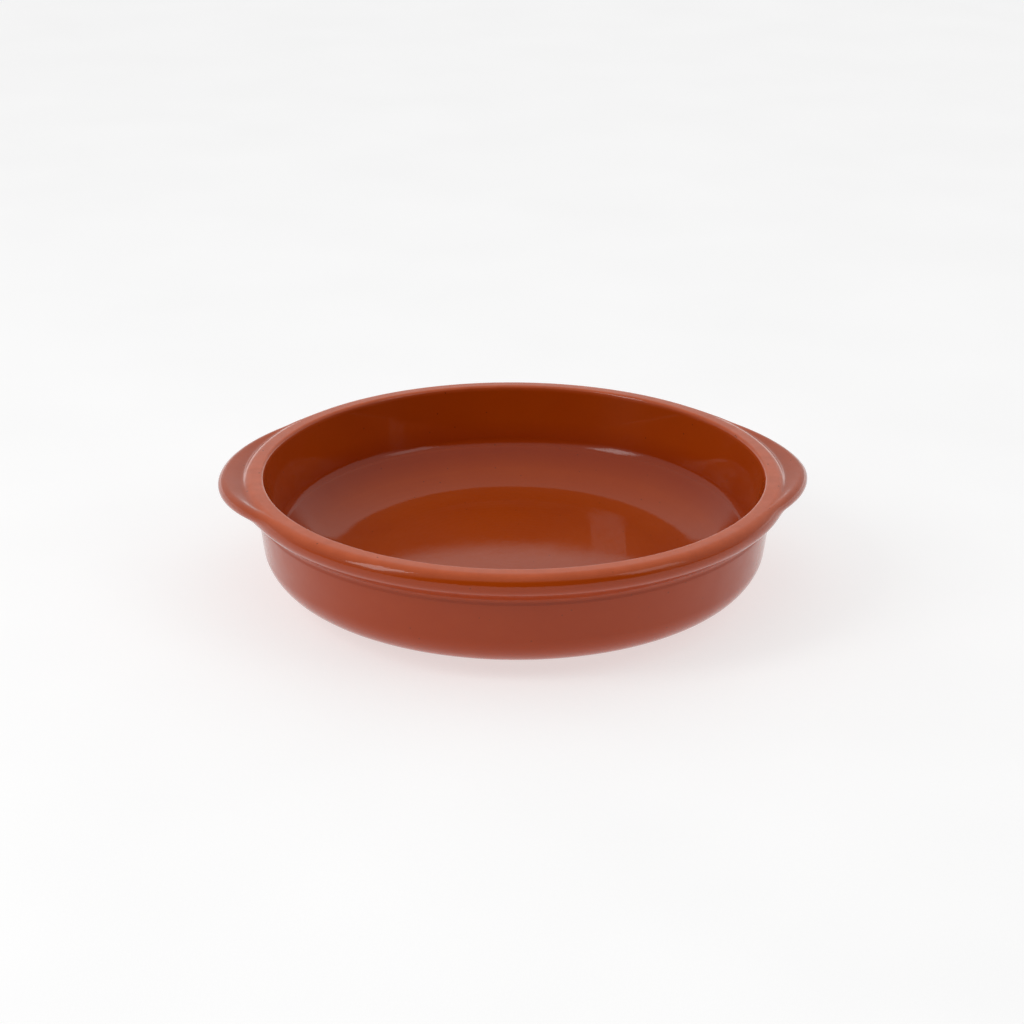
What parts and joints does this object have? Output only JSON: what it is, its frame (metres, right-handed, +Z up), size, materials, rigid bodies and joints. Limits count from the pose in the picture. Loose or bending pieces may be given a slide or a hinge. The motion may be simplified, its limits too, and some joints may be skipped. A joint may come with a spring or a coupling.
{
  "type": "cazuela",
  "caption": "Round shallow earthenware dish with a rounded rim, a flat base and two ledge ears, for baking, cooking and serving.",
  "frame": {"origin": "centre of the flat base", "axes": "+Z up out of the bowl, +X through the two ears"},
  "size_m": [0.26, 0.24, 0.052],
  "materials": {
    "glazed_clay": "orange-brown fired clay under a clear gloss glaze"
  },
  "bodies": {
    "root": {"dish": "glazed_clay"}
  },
  "joints": []
}
